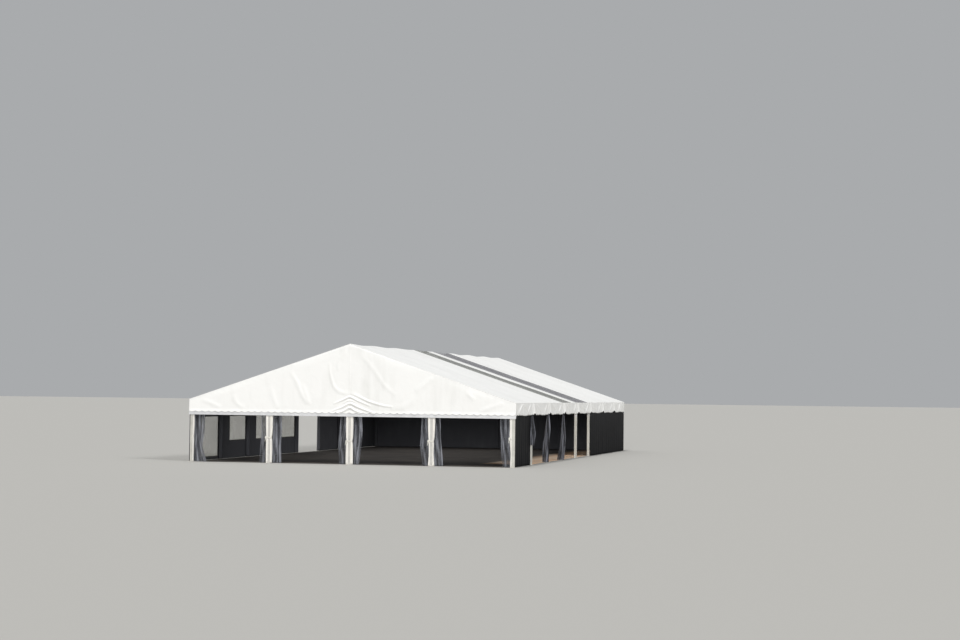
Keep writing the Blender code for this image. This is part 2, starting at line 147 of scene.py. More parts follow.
def crease_relief(a, b, creases):
    """How far creases lift the cloth at (a, b): a bell-shaped ridge along each line, dying out at its ends.

    Each crease is its rise, its half width and the points of its line. The ridge's height is the rise times
    a bell of the distance, and times the root of a half sine from one end of the line to the other.
    """
    a, b = np.broadcast_arrays(a, b)
    total = np.zeros(a.shape)
    spots = join(a, b)[..., None, :]
    for rise, width, points in creases:
        line = smooth_line(points)
        start, run = line[:-1], np.diff(line, axis=0)
        along = np.clip(((spots - start) * run).sum(-1) / (run**2).sum(-1), 0, 1)
        gaps = np.linalg.norm(spots - start - along[..., None] * run, axis=-1)
        nearest = gaps.argmin(-1)[..., None]
        gap = np.take_along_axis(gaps, nearest, -1)[..., 0]
        place = (nearest + np.take_along_axis(along, nearest, -1))[..., 0] / len(run)
        total += rise * np.sqrt(np.sin(np.pi * np.clip(place, 0, 1))) * bell(gap, width)
    return total


def bay_place(y):
    """For places along the marquee: the number of the bay, and the share of the way through it."""
    bay = np.clip(np.floor((y - FRAME_Y[0]) / BAY), 0, BAYS - 1).astype(int)
    return bay, np.clip((y - FRAME_Y[0]) / BAY - bay, 0, 1)


# Streaks that run up the right slope from the front eave corner, each as rise, half width and (x, y) points
ROOF_CREASES = [
    (0.016, 0.13, [(5.3, -11.55), (3.77, -10.36), (2.07, -8.45), (0.83, -7.12)]),
    (0.014, 0.12, [(5.0, -11.9), (3.2, -10.14), (1.57, -8.33), (0.27, -6.41)]),
    (0.012, 0.12, [(5.6, -10.9), (4.3, -9.7), (3.0, -8.2), (1.9, -6.9)]),
    (0.012, 0.14, [(5.2, -8.6), (3.9, -7.4), (2.5, -6.5), (1.2, -6.15)]),
    (0.011, 0.12, [(0.6, -11.7), (1.7, -10.9), (2.9, -10.6), (4.2, -10.9)]),
    (0.010, 0.12, [(0.4, -3.8), (1.9, -4.3), (3.7, -4.4), (5.4, -4.1)]),
    (0.012, 0.14, [(5.6, 5.6), (4.0, 4.6), (2.4, 3.8), (0.6, 3.3)]),
    (0.011, 0.13, [(5.7, 8.6), (4.2, 7.6), (2.5, 6.9), (0.7, 6.3)]),
    (0.016, 0.13, [(-5.3, -11.55), (-3.9, -10.2), (-2.2, -8.6), (-0.9, -7.0)]),
    (0.012, 0.12, [(-5.5, -10.6), (-4.1, -9.6), (-2.8, -8.3), (-1.7, -6.8)]),
    (0.012, 0.14, [(-5.2, -5.5), (-3.8, -4.4), (-2.3, -3.7), (-0.8, -3.3)]),
    (0.013, 0.14, [(-5.6, 11.3), (-4.1, 10.2), (-2.4, 9.4), (-0.7, 9.1)]),
    (0.013, 0.14, [(5.6, 11.4), (4.0, 10.3), (2.3, 9.5), (0.6, 9.2)]),
]


def roof_height(x, y):
    """Top of the canopy: two straight slopes, turned over the ridge, sagging between the frames.

    The sag is a squared sine along each bay. A slow ripple of two sines, and the creases, are laid over it.
    Everything but the creases dies out at the frames, where the rafters carry it.
    """
    reach = np.abs(x)
    bay, share = bay_place(y)
    free = np.sin(np.pi * share) ** 2
    turn = RIDGE_ROUND + (RIDGE_ROUND_FREE - RIDGE_ROUND) * free
    slopes = RIDGE_Z - SLOPE * np.sqrt(reach**2 + turn**2)
    sag = np.interp(reach / EDGE_X, (0, 0.5, 1), SAG) * BAY_SAG[bay] * free
    ripple = BILLOW * free * np.sin(1.9 * x + 0.8 * y + bay) * np.sin(0.7 * x - 1.3 * y + 2 * bay)
    return slopes - sag + ripple + crease_relief(x, y, ROOF_CREASES)


def linear(code):
    """The linear colour of an sRGB hex code."""
    share = np.array([int(code[start:start + 2], 16) for start in (1, 3, 5)]) / 255
    curved = np.where(share <= 0.04045, share / 12.92, ((share + 0.055) / 1.055) ** 2.4)
    return (*curved.tolist(), 1.0)


def feed(tree, node, **feeds):
    """Feeds a node's inputs, by identifier with _ for a space: a value, a hex colour or a node's output."""
    for socket in node.inputs:
        value = feeds.get(socket.identifier.replace(" ", "_"))
        if isinstance(value, bpy.types.NodeSocket):
            tree.links.new(value, socket)
        elif value is not None:
            socket.default_value = linear(value) if isinstance(value, str) else value


def add_node(tree, kind, out=None, **values):
    """Adds a node. Values in lower case are its settings, and those with a capital feed its inputs.

    Returns the output with the identifier out, or the first one.
    """
    made = tree.nodes.new("ShaderNode" + kind)
    for name, value in values.items():
        if name.islower():
            setattr(made, name, value)
    feed(tree, made, **values)
    return next(socket for socket in made.outputs if out in (None, socket.identifier))


WAVE = 2 * math.pi / 20  # period of Blender's wave texture at scale 1
COLOUR_MIX = {"out": "Result_Color", "data_type": "RGBA"}


def blank_finish(name, **values):
    """A new material with values on its shader, and functions that add a node to it and feed the shader."""
    made = bpy.data.materials.new(name)
    made.use_nodes = True
    tree = made.node_tree
    dress = partial(feed, tree, tree.nodes["Principled BSDF"])
    dress(**values)
    return made, partial(add_node, tree), dress


def crossing_threads(add, place, thread):
    """The height of plain-woven threads: a wave across the cloth times a wave along it."""
    wave = {"Vector": place, "Scale": WAVE / thread}
    warp, weft = (add("TexWave", "Fac", bands_direction=way, **wave) for way in "XY")
    return add("Math", Value=warp, Value_001=weft, operation="MULTIPLY")


def coated_cloth(name, clean, soiled, roughness, gloss):
    """Polyester cloth coated with PVC and calendered between hot rollers.

    The eye gets a smooth, slightly glossy skin over a square scrim, soft dents where it was folded, and a
    breath of grey where rain has carried dust down the cloth. The scrim is 1 mm in the real cloth and is
    drawn at 12 mm. UV is in metres, with V along the fall of the cloth.
    """
    scrim, dent, run_width, run_length, cloud = 0.012, 0.35, 0.30, 1.8, 1.3
    made, add, dress = blank_finish(name, Roughness=roughness, IOR=1.53, Specular_IOR_Level=gloss)
    place = add("TexCoord", out="UV")
    solid = add("TexCoord", out="Object")
    fall = add("Mapping", Vector=place, Scale=(1 / run_width, 1 / run_length, 1))
    runs = add("TexNoise", Vector=fall, Scale=1, Detail=3)
    patches = add("TexNoise", Vector=solid, Scale=1 / cloud, Detail=4)
    both = add("Math", Value=runs, Value_001=patches, operation="MULTIPLY")
    dirt = add("MapRange", Value=both, From_Min=0.24, From_Max=0.60)
    colour = add("Mix", Factor_Float=dirt, A_Color=clean, B_Color=soiled, **COLOUR_MIX)
    fine = add("Bump", Height=crossing_threads(add, place, scrim), Distance=0.0002, Strength=0.6)
    dents = add("TexNoise", Vector=solid, Scale=1 / dent, Detail=3, Distortion=0.6)
    soft = add("Bump", Height=dents, Distance=0.013, Strength=0.5, Normal=fine)
    dress(Base_Color=colour, Normal=soft)
    return made


def clear_film(name, thin, thick, least, most):
    """Clear plasticised PVC sheet, pressed between polished rollers.

    The eye gets a grey haze that lets the dark inside through, a soft gloss, and shallow waves a hand wide.
    Least and most are the shares of light that the haze stops.
    """
    wave, haze = 0.18, 0.8
    made, add, dress = blank_finish(name, Roughness=0.16, IOR=1.54)
    solid = add("TexCoord", out="Object")
    streaks = add("TexNoise", Vector=solid, Scale=1 / haze, Detail=3)
    colour = add("Mix", Factor_Float=streaks, A_Color=thin, B_Color=thick, **COLOUR_MIX)
    cover = add("MapRange", Value=streaks, To_Min=least, To_Max=most)
    waves = add("TexNoise", Vector=solid, Scale=1 / wave, Detail=2)
    relief = add("Bump", Height=waves, Distance=0.004, Strength=0.5)
    dress(Base_Color=colour, Alpha=cover, Normal=relief)
    return made


def woven_cloth(name, light, dark, thread, roughness, cover=None, sheen=0.3):
    """Plain woven polyester. UV is in metres, across and along the cloth.

    The eye gets crossing threads, a little sheen at the edges of the folds, and a tone that shifts between
    threads. Cover, where given, is the least and most share of light that the weave stops, and such a cloth
    shows long lighter streaks, laid at random: denser layers where it is bunched, and painted highlight
    that stands in for sun on the crests of its pleats.
    """
    streak_width, streak_length = 0.15, 1.0
    slub = 30  # threads that one slub runs along
    made, add, dress = blank_finish(name, Roughness=roughness, Sheen_Weight=sheen, Sheen_Roughness=0.5)
    place = add("TexCoord", out="UV")
    weave = crossing_threads(add, place, thread)
    stretched = add("Mapping", Vector=place, Scale=(1 / thread, 1 / (thread * slub), 1))
    slubs = add("TexNoise", Vector=stretched, Scale=0.5, Detail=2)
    tone = add("Math", Value=weave, Value_001=slubs, operation="MULTIPLY")
    spread = add("MapRange", Value=tone, From_Max=0.6)
    if cover:
        # Lighter, denser streaks: layers where the voile is bunched, and painted highlight for sun on pleat
        # crests
        drawn = add("Mapping", Vector=place, Scale=(1 / streak_width, 1 / streak_length, 1))
        layers_and_painted_highlight = add("TexNoise", Vector=drawn, Scale=1, Detail=1)
        streaks = add("MapRange", Value=layers_and_painted_highlight, From_Min=0.38, From_Max=0.62)
        spread = add("Mix", "Result_Float", Factor_Float=0.7, A_Float=spread, B_Float=streaks)
        dress(Alpha=add("MapRange", Value=spread, To_Min=cover[0], To_Max=cover[1]))
    colour = add("Mix", Factor_Float=spread, A_Color=dark, B_Color=light, **COLOUR_MIX)
    relief = add("Bump", Height=weave, Distance=thread / 12, Strength=0.5)
    dress(Base_Color=colour, Normal=relief)
    return made


def coir_pile():
    """Coconut-fibre matting, woven in ribs and rolled out in two-metre widths.

    The eye gets a rough rib with loose fibre ends. It is drawn pale orange along the open right side, as
    painted sunlight, and dark grey elsewhere, as painted shade. The ribs are 8 mm in the real mat and are
    drawn at 24 mm. UV is in metres.
    """
    rib, fibre, worn = 0.024, 0.006, 1.8
    painted_sun_x, painted_sun_y = (4.0, 4.9), (-9.5, -8.5)  # over which it turns from painted shade to painted sunlight
    made, add, dress = blank_finish("coir_matting", Roughness=0.95)
    place = add("TexCoord", out="UV")
    fibres = add("TexNoise", Vector=place, Scale=1 / fibre, Detail=3)
    patches = add("TexNoise", Vector=place, Scale=1 / worn, Detail=5)
    mixed = add("Math", Value=fibres, Value_001=patches, operation="MULTIPLY")
    spread = add("MapRange", Value=mixed, From_Min=0.12, From_Max=0.42)
    # The pale orange tone is painted sunlight, and the dark grey tone is painted shade
    clean, painted_shade_tone = (
        add("Mix", Factor_Float=spread, A_Color=dark, B_Color=light, **COLOUR_MIX)
        for dark, light in (("#F6BE8C", "#FFF4E2"), ("#3D3936", "#5F5953"))
    )
    solid = add("TexCoord", out="Object")
    inwards, rearwards = (
        add("MapRange", Value=add("SeparateXYZ", axis, Vector=solid), From_Min=start, From_Max=end)
        for axis, (start, end) in (("X", painted_sun_x), ("Y", painted_sun_y))
    )
    # Painted sunlight past 4.9 m along X and past -8.5 m along Y, and painted shade elsewhere
    painted_sun_mask = add("Math", Value=inwards, Value_001=rearwards, operation="MULTIPLY")
    colour = add("Mix", Factor_Float=painted_sun_mask, A_Color=painted_shade_tone, B_Color=clean, **COLOUR_MIX)
    ribs = add("TexWave", "Fac", Vector=place, Scale=WAVE / rib, bands_direction="Y")
    rough = add("Math", Value=ribs, Value_001=fibres, operation="ADD")
    relief = add("Bump", Height=rough, Distance=0.004, Strength=0.9)
    dress(Base_Color=colour, Normal=relief)
    return made


def mill_aluminium(name, grain, dark, light):
    """Extruded aluminium, left as it came from the die and dulled by weather.

    The eye gets a pale satin grey with fine lines along the bar and cloudy patches of oxide. Below the rails
    it is a little darker and warmer. Grain is the size of a line along X, Y
    and Z: long the way the bar was drawn. The lines are finer in the real bar.
    """
    cloud = 0.25
    darker_fade = 0.02  # height over which the darker part ends
    made, add, dress = blank_finish(name, Roughness=0.42, Metallic=0.40)
    solid = add("TexCoord", out="Object")
    drawn = add("Mapping", Vector=solid, Scale=tuple(1 / size for size in grain))
    lines = add("TexNoise", Vector=drawn, Scale=1, Detail=3)
    oxide = add("TexNoise", Vector=solid, Scale=1 / cloud, Detail=6)
    mixed = add("Math", Value=lines, Value_001=oxide, operation="MULTIPLY")
    spread = add("MapRange", Value=mixed, From_Min=0.12, From_Max=0.40)
    clean = add("Mix", Factor_Float=spread, A_Color=dark, B_Color=light, **COLOUR_MIX)
    height = add("SeparateXYZ", "Z", Vector=solid)
    # Darker and warmer below the rails
    below_rails_mask = add(
        "MapRange", Value=height, From_Min=RAIL_LOW - darker_fade, From_Max=RAIL_LOW, To_Min=1.0, To_Max=0.0
    )
    colour = add(
        "Mix", Factor_Float=below_rails_mask, A_Color=clean, B_Color="#ECE9E2", blend_type="MULTIPLY", **COLOUR_MIX
    )
    dull = add("MapRange", Value=oxide, To_Min=0.36, To_Max=0.58)
    relief = add("Bump", Height=lines, Distance=0.0004, Strength=0.5)
    dress(Base_Color=colour, Roughness=dull, Normal=relief)
    return made


WHITE = coated_cloth("white_coated_polyester", "#FAF9F6", "#ECEBE7", 0.42, gloss=0.2)
BLACK = coated_cloth("black_coated_polyester", "#0F0F11", "#171719", 0.65, gloss=0.12)
# The black lining inside the walls and on the covers is drawn charcoal instead of black: painted light
BLACK_PAINTED_LIGHT = coated_cloth("charcoal_coated_polyester", "#626368", "#707175", 0.80, gloss=0.1)
ROOF_FILMS = (
    clear_film("clear_roof_film_olive", "#AEAEA4", "#C6C6BB", 0.34, 0.42),
    clear_film("clear_roof_film_grey", "#B0ADB2", "#C8C5CA", 0.34, 0.42),
)
WINDOW_FILM = clear_film("clear_window_film", "#B4B5A8", "#CBCABA", 0.26, 0.44)
CURTAIN = woven_cloth("white_curtain_polyester", "#FFFDF9", "#F4F1EA", 0.008, 0.75)
VOILE = woven_cloth("dark_voile", "#A0A2AA", "#414349", 0.010, 0.85, cover=(0.28, 0.94), sheen=0.3)
# The ceiling's black lining is drawn dark grey: painted light inside the marquee
LINING = woven_cloth("black_lining", "#58595D", "#47484C", 0.012, 0.95, sheen=0.1)
SIDE_VOILE = woven_cloth("bunched_voile", "#989AA4", "#34363C", 0.010, 0.85, cover=(0.72, 0.99), sheen=0.3)
WEBBING = woven_cloth("white_webbing", "#F8F6F0", "#E2DED4", 0.006, 0.7)
COIR = coir_pile()
# Frames 2 to 9 and the back posts are drawn lighter than frame 1. This is painted light, standing in for the
# sun that the legs under the canopy miss. Frame 1 keeps the plain tone
UPRIGHT_METAL_PAINTED_LIGHT = mill_aluminium("aluminium_drawn_upright", (0.006, 0.006, 0.6), "#E6E6E3", "#FBFBF9")
PLAIN_UPRIGHT_METAL = mill_aluminium("aluminium_worn_upright", (0.006, 0.006, 0.6), "#D3D3D1", "#EFEFED")
CROSS_METAL = mill_aluminium("aluminium_drawn_across", (0.6, 0.006, 0.006), "#DADADB", "#F3F3F4")
LONG_METAL = mill_aluminium("aluminium_drawn_lengthwise", (0.006, 0.6, 0.006), "#D3D3D1", "#EFEFED")


def put(name, data):
    """A new object of the scene."""
    made = bpy.data.objects.new(name, data)
    bpy.context.scene.collection.objects.link(made)
    return made


def lay_grid(name, points, flat_places, finish, stands_for=(), thickness=0.0, inner_finish=None,
             flip=False, keep=None, wrap=False, capped=False):
    """Makes a piece of a grid of points, rows by columns, and seats it on the marquee.

    Faces look the way that columns turned towards rows points, or the other way with flip. The flat places
    are each point's UV in metres. Keep says which faces are there, wrap joins the last column to the first,
    and capped closes both ends of a wrapped grid. Thickness goes on the side that the faces look away from.
    """
    rows, columns = points.shape[:2]
    order = np.arange(rows * columns).reshape(rows, columns)
    if wrap:
        order = np.hstack([order, order[:, :1]])
    quads = join(order[:-1, :-1], order[:-1, 1:], order[1:, 1:], order[1:, :-1])
    quads = quads.reshape(-1, 4) if keep is None else quads[keep]
    used, renumbered = np.unique(quads[:, ::-1] if flip else quads, return_inverse=True)
    faces = renumbered.reshape(-1, 4).tolist()
    if capped:
        faces += [order[0, :columns][::-1].tolist(), order[-1, :columns].tolist()]
    mesh = bpy.data.meshes.new(name)
    mesh.from_pydata(points.reshape(-1, 3)[used].tolist(), [], faces)
    corners = np.empty(len(mesh.loops), np.int32)
    mesh.loops.foreach_get("vertex_index", corners)
    flat = flat_places.reshape(-1, 2)[used][corners]
    mesh.uv_layers.new(name="flat").data.foreach_set("uv", flat.astype(np.float32).ravel())
    mesh.shade_smooth()
    if capped:
        mesh.set_sharp_from_angle(angle=math.radians(40))
    mesh.materials.append(finish)
    piece = put(name, mesh)
    if thickness:
        solid = piece.modifiers.new("thickness", "SOLIDIFY")
        solid.thickness = thickness
        solid.offset = -1
        if inner_finish:
            mesh.materials.append(inner_finish)
            solid.material_offset = 1
    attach(piece, "root")
    if stands_for:
        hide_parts(*stands_for)
    return piece


def cloth(node, points, flat_places, finish, thickness=CLOTH, **how):
    """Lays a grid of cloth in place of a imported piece."""
    return lay_grid(node + "_cloth", points, flat_places, finish, [node], thickness, **how)


def carry(name, path, sideways, upwards, profile, finish, ring=False):
    """Carries a closed profile along a path: each point is path + profile x sideways + profile y upwards.

    The path runs so that sideways x upwards points along it. A ring has no ends, and other paths are capped.
    """
    sideways, upwards = (np.broadcast_to(way, path.shape)[:, None] for way in (sideways, upwards))
    points = path[:, None] + profile[:, 0, None] * sideways + profile[:, 1, None] * upwards
    girth = np.cumsum(np.linalg.norm(profile - np.roll(profile, 1, axis=0), axis=-1))
    flat = join(girth[None, :], distance_along(path)[:, None])
    if ring:
        points = np.vstack([points, points[:1]])
        flat = np.vstack([flat, flat[-1:] + flat[1:2] - flat[:1]])
    return lay_grid(name, points, flat, finish, wrap=True, capped=not ring)


def oval(half_width, half_height, count=10):
    """An oval profile, anticlockwise."""
    turn = np.linspace(0, 2 * np.pi, count, endpoint=False)
    return join(half_width * np.cos(turn), half_height * np.sin(turn))


ROOF_STEP = 0.11  # between the canopy's rows


def roof_piece(node, finish):
    """One sheet of the canopy, with a raised lap welded along both its ends.

    The surface is z = roof height at (x, y), plus a step of the lap's rise within a lap's width of an end.
    Its columns are close together over the ridge.
    """
    low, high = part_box(node)
    near = np.linspace(0, 0.12, 6)
    half = np.r_[near, np.linspace(near[-1], EDGE_X, 84)[1:]]
    on_lap, off_lap = LAP * 0.9, LAP * 1.15  # rows close to both sides of the lap's edge
    inner = np.linspace(low.y + off_lap, high.y - off_lap, round((high.y - low.y) / ROOF_STEP))
    rows = np.r_[low.y, low.y + on_lap, inner, high.y - on_lap, high.y]
    x, y = np.meshgrid(np.r_[-half[:0:-1], half], rows)
    z = roof_height(x, y) + LAP_RISE * (np.minimum(y - low.y, high.y - y) < LAP)
    piece = cloth(node, join(x, y, z), join(y, x * UPRIGHT), finish)


def hem_height(along, pitch):
    """Lower edge of a scalloped border: the tips' height plus the depth times 1 - |sine|."""
    return HEM_TIP + SCALLOP_DEPTH * (1 - np.abs(np.sin(np.pi * along / pitch)))


def scallop_columns(length, fine_reach=0.0):
    """Places along a scalloped border, and its true pitch, which divides the length evenly.

    The places are closer together within the fine reach of the border's middle.
    """
    count = round(length / SCALLOP_PITCH)
    pitch = length / count
    starts = pitch * np.arange(count)
    creased = np.abs(starts + pitch / 2 - length / 2) < fine_reach
    steps = np.where(creased, FINE_SCALLOP_STEPS, SCALLOP_STEPS)
    parts = [start + pitch * np.arange(number) / number for start, number in zip(starts, steps)]
    return np.r_[(*parts, length)], pitch


# Creases of the front gable, each as rise, half width and (x, z) points: the arches over the middle post
# first, then the long falls at its left, the seam's own fold, and the folds at its right
FRONT_CREASES = [
    (0.026, 0.038, [(0.01, 2.53), (0.3, 2.43), (0.7, 2.25), (1.2, 2.11), (1.6, 2.06)]),
    (0.018, 0.050, [(0.01, 2.53), (-0.27, 2.54), (-0.56, 2.74), (-0.71, 3.17), (-0.77, 3.61)]),
    (0.034, 0.032, [(-0.6, 2.14), (-0.21, 2.30), (0.02, 2.39), (0.3, 2.27), (0.8, 2.07)]),
    (0.016, 0.026, [(-0.25, 2.17), (0.02, 2.27), (0.3, 2.16)]),
    (0.042, 0.032, [(-0.66, 1.88), (-0.26, 2.03), (0.02, 2.16), (0.25, 2.07), (0.59, 1.94), (0.95, 1.83)]),
    (0.044, 0.029, [(-0.55, 1.80), (-0.22, 1.89), (0.02, 2.01), (0.22, 1.91), (0.52, 1.82)]),
    (0.012, 0.090, [(-2.96, 2.72), (-2.87, 2.44), (-2.77, 2.17), (-2.66, 1.95)]),
    (0.016, 0.080, [(-2.21, 3.27), (-1.99, 2.94), (-1.81, 2.56), (-1.66, 2.29), (-1.54, 2.13)]),
    (0.012, 0.075, [(-1.76, 2.84), (-1.58, 2.4), (-1.46, 2.08)]),
    (0.014, 0.065, [(-0.12, 4.05), (-0.4, 3.67), (-0.45, 3.3)]),
    (0.012, 0.085, [(-4.35, 2.43), (-4.23, 2.15), (-3.93, 1.94)]),
    (0.013, 0.090, [(2.4, 2.62), (2.58, 2.72), (2.91, 2.99), (3.18, 3.18)]),
    (0.012, 0.070, [(4.24, 2.63), (4.41, 2.47), (4.58, 2.34)]),
    (0.014, 0.120, [(1.50, 2.02), (2.0, 2.08), (2.40, 2.35), (2.69, 2.77), (3.05, 3.1)]),
    (0.012, 0.075, [(0.35, 3.95), (0.9, 3.35), (1.3, 2.8), (1.75, 2.45)]),
    (0.012, 0.080, [(-5.6, 2.25), (-5.2, 2.12), (-4.8, 1.95)]),
    (0.012, 0.080, [(5.6, 2.25), (5.2, 2.10), (4.7, 1.93)]),
]
BACK_CREASES = [
    (0.016, 0.050, [(-0.9, 2.02), (-0.4, 2.22), (0.0, 2.30), (0.5, 2.20), (1.0, 1.98)]),
    (0.016, 0.050, [(-3.5, 1.95), (-3.2, 2.10), (-3.0, 2.14), (-2.7, 2.07), (-2.4, 1.92)]),
    (0.016, 0.050, [(2.4, 1.92), (2.8, 2.08), (3.1, 2.12), (3.5, 1.94)]),
    (0.014, 0.055, [(-2.2, 3.2), (-1.9, 2.8), (-1.7, 2.3)]),
    (0.014, 0.055, [(2.3, 3.1), (2.0, 2.7), (1.8, 2.2)]),
    (0.014, 0.055, [(-0.2, 4.0), (-0.6, 3.4), (-0.8, 2.9)]),
    (0.012, 0.050, [(4.3, 2.6), (4.1, 2.3), (3.9, 2.0)]),
]
FINE_REACH = 2.4  # from the middle post to where the front gable's sharp creases end
SEAM_HALF = 0.02  # of the weld down the middle of a gable
SEAM_RISE = 0.002
TAPE_HALF = (0.0032, 0.011)  # half the thickness and half the width of the tape on a hem
WELT_RADIUS = 0.007
WELT_DROP = 0.003  # from the top of the canopy to the middle of a welt


def gable_relief(x, z, head, creases):
    """How far a gable's cloth stands out from the rail.

    A shallow billow between the posts, a border that kicks out under the rail in slow waves, the creases,
    and the weld down the middle. All but the weld die out at the roof's edge.
    """
    billow_rise, kick, wave_rise, wave_length = 0.014, 0.019, 0.006, 0.74
    billow_fade, kick_start, kick_fade, edge_fade = 0.8, 0.24, 0.18, 0.22  # heights over which they come in
    billow = billow_rise * np.sin(np.pi * x / BAY) ** 2 * smooth_step((z - RAIL_LOW) / billow_fade)
    wave = kick + wave_rise * np.sin(2 * np.pi * x / wave_length)
    border = smooth_step((RAIL_LOW + kick_start - z) / kick_fade) * wave
    seam = SEAM_RISE * (np.abs(x) < SEAM_HALF)
    return smooth_step((head - z) / edge_fade) * (billow + border + crease_relief(x, z, creases)) + seam


def gable(node, end, creases, border_rows, upper_rows):
    """A gable's cloth from the edge of the canopy to its scallops, and the tape bound round them.

    The surface is x by height, from the hem up to the canopy, standing out by the gable's relief. Border rows
    are those of its lowest quarter.
    """
    border_top = 0.28  # of the way up
    along, pitch = scallop_columns(2 * EDGE_X, FINE_REACH if end < 0 else 0.0)
    border = np.linspace(0, border_top, border_rows, endpoint=False)
    x, share = np.meshgrid(along - EDGE_X, np.r_[border, np.linspace(border_top, 1, upper_rows)])
    hem = hem_height(x + EDGE_X, pitch)
    head = roof_height(x, end * EDGE_Y) - (CLOTH + CLEAR / 2) * UPRIGHT
    z = hem + (head - hem) * share
    points = join(x, end * (RAIL_Y + CLEAR + gable_relief(x, z, head, creases)), z)
    piece = cloth(node, points, join(x, z), WHITE, flip=end > 0)
    tape = bind_hem(node + "_tape", points[0], (0, end, 0))


def bind_hem(name, hem, outward):
    """Binding tape folded over a scalloped edge: a flat oval carried along the hem."""
    upwards = (0, 0, 1)
    if np.dot(np.cross(outward, upwards), hem[-1] - hem[0]) < 0:
        hem = hem[::-1]
    middle_of_cloth = hem - np.array(outward) * CLOTH / 2
    return carry(name, middle_of_cloth, outward, upwards, oval(*TAPE_HALF, 8), WHITE)


def welt(name, x, y, sideways, upwards=None):
    """The corded welt where a gable or valance meets the canopy: a round profile along the canopy's edge."""
    x, y = np.broadcast_arrays(x, y)
    path = join(x, y, roof_height(x, y) - WELT_DROP)
    if upwards is None:
        upwards = np.cross(unit(np.gradient(path, axis=0)), sideways)
    carry(name, path, sideways, upwards, oval(WELT_RADIUS, WELT_RADIUS), WHITE)


# Folds of a side valance. They fall away from a point under the eave: how far from it they start, how far
# out they have come at the hem towards the front and towards the back, and their rise
FRAME_FOLDS = ((0.40, 1.25, 1.35, 0.026), (0.12, 0.40, 0.46, 0.016))
END_FOLD = (0.02, 0.80, 1.00, 0.036)
END_FOLD_INSET = 1.1  # from the end frame to the point that it falls from
FOLD_HALF = 0.045
PUCKER = 0.070  # how far the valance stands out at a frame
HEM_LIFT = 0.055  # how far the hem is drawn up there
LIFT_HALF = 0.26
VALANCE_BILLOW = 0.026


def valance_folds():
    """Creases of a side valance, each as rise, half width and (y, z) points."""
    top, low = EAVE_Z - 0.03, HEM_TIP + SCALLOP_DEPTH
    points = [(y, fold) for y in FRAME_Y[1:-1] for fold in FRAME_FOLDS]
    points += [(end * (FRAME_Y[-1] - END_FOLD_INSET), END_FOLD) for end in (-1, 1)]
    made = []
    for number, (y, (start, front, back, rise)) in enumerate(points):
        uneven = 1 + 0.12 * math.sin(5 * number)
        for side, reach in ((-1, front * uneven), (1, back / uneven)):
            line = [(y + side * (start + (reach - start) * share), top + (low - top) * share ** 1.2)
                    for share in (0.0, 0.35, 0.7, 1.0)]
            made.append((rise, FOLD_HALF, line))
    return made


def valance(node, side):
    """The scalloped strip hanging from an eave: y by height, standing out from the rail.

    It billows in a squared sine between the frames. At each frame it puckers in a bell that widens towards
    the hem, to the power 1.6, the hem is drawn up, and folds fall to both sides.
    """
    length = 2 * RAIL_Y
    along, pitch = scallop_columns(length)
    y, share = np.meshgrid(along - length / 2, np.linspace(0, 1, 20))
    hang = 1 - share
    to_frame = np.abs(y[..., None] - FRAME_Y[1:-1]).min(-1)
    lift = HEM_LIFT * bell(to_frame, LIFT_HALF) + 0.010 * np.sin(2 * np.pi * y / 1.7)
    hem = hem_height(y + length / 2, pitch) + lift
    head = roof_height(EDGE_X, y) - 0.006
    z = hem + (head - hem) * share
    _, place = bay_place(y)
    billow = VALANCE_BILLOW * np.sin(np.pi * place) ** 2 * hang
    wave = 0.006 * hang * (1 + np.sin(2 * np.pi * y / 0.83))
    pucker = PUCKER * (0.4 + 0.6 * hang) * bell(to_frame, 0.10 + 0.14 * hang, 1.6)
    relief = (billow + wave + pucker + crease_relief(y, z, valance_folds())) * smooth_step(hang * 7)
    points = join(side * (RAIL_X + CLEAR + relief), y, z)
    piece = cloth(node, points, join(y, z), WHITE, flip=side < 0)
    tape = bind_hem(node + "_tape", points[0], (side, 0, 0))


WALL_FOLD = 0.007
WALL_PITCH = 0.55
FILM_LAP = 0.03
BORDER = 0.045  # width of the welded border round a window


def wall_folds(along, height, head, seed, depth=WALL_FOLD, pitch=WALL_PITCH):
    """How far a hanging wall stands off its plane: uneven vertical folds, deeper towards the hem.

    It is the sum of two sines along the wall, the second one slower, whose phases drift with height.
    """
    down = (head - height) / head
    lively = 0.35 + 0.65 * down
    first = np.sin(2 * np.pi * along / pitch + 1.4 * np.sin(1.1 * along + seed) + 0.5 * down)
    second = np.sin(2 * np.pi * along / (pitch * 2.7) + seed + 0.8 * down)
    return depth * lively * (0.6 * first + 0.4 * second)


def wall_piece(node, across, outward, finish, seed, hole=None, fullness=1.0, **folds):
    """A wall or a curtain, black inside but drawn charcoal there as painted light: places along it by height,
    standing off its plane by its folds.

    Across is the axis that it crosses, and outward the sign of its outer side. A hole is (start, end, sill,
    head), and the grid has lines on its edges, inside which no face is kept. Folds may be another depth and
    pitch than a wall's.
    """
    low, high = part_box(node)
    start, end = low[1 - across], high[1 - across]
    columns = np.linspace(start, end, max(24, round((end - start) / (folds.get("pitch", WALL_PITCH) / 7))))
    heights = np.linspace(HEM_CLEAR, high.z, 26)
    if hole:
        columns = np.unique(np.r_[columns, hole[:2]])
        heights = np.unique(np.r_[heights, hole[2:]])
    along, z = np.meshgrid(columns, heights)
    off = middle(node, across) + outward * wall_folds(along, z, high.z, seed, **folds)
    keep, opening = None, 0.0
    if hole:
        mid_along, mid_z = ((part[:-1, :-1] + part[1:, 1:]) / 2 for part in (along, z))
        keep = ~(
            (mid_along > hole[0]) & (mid_along < hole[1]) & (mid_z > hole[2]) & (mid_z < hole[3])
        )
        opening = (hole[1] - hole[0]) * (hole[3] - hole[2])
    points = join(along, off, z) if across else join(off, along, z)
    piece = cloth(node, points, join(along, z), finish, inner_finish=BLACK_PAINTED_LIGHT, keep=keep,
                  flip=outward > 0 if across else outward < 0)


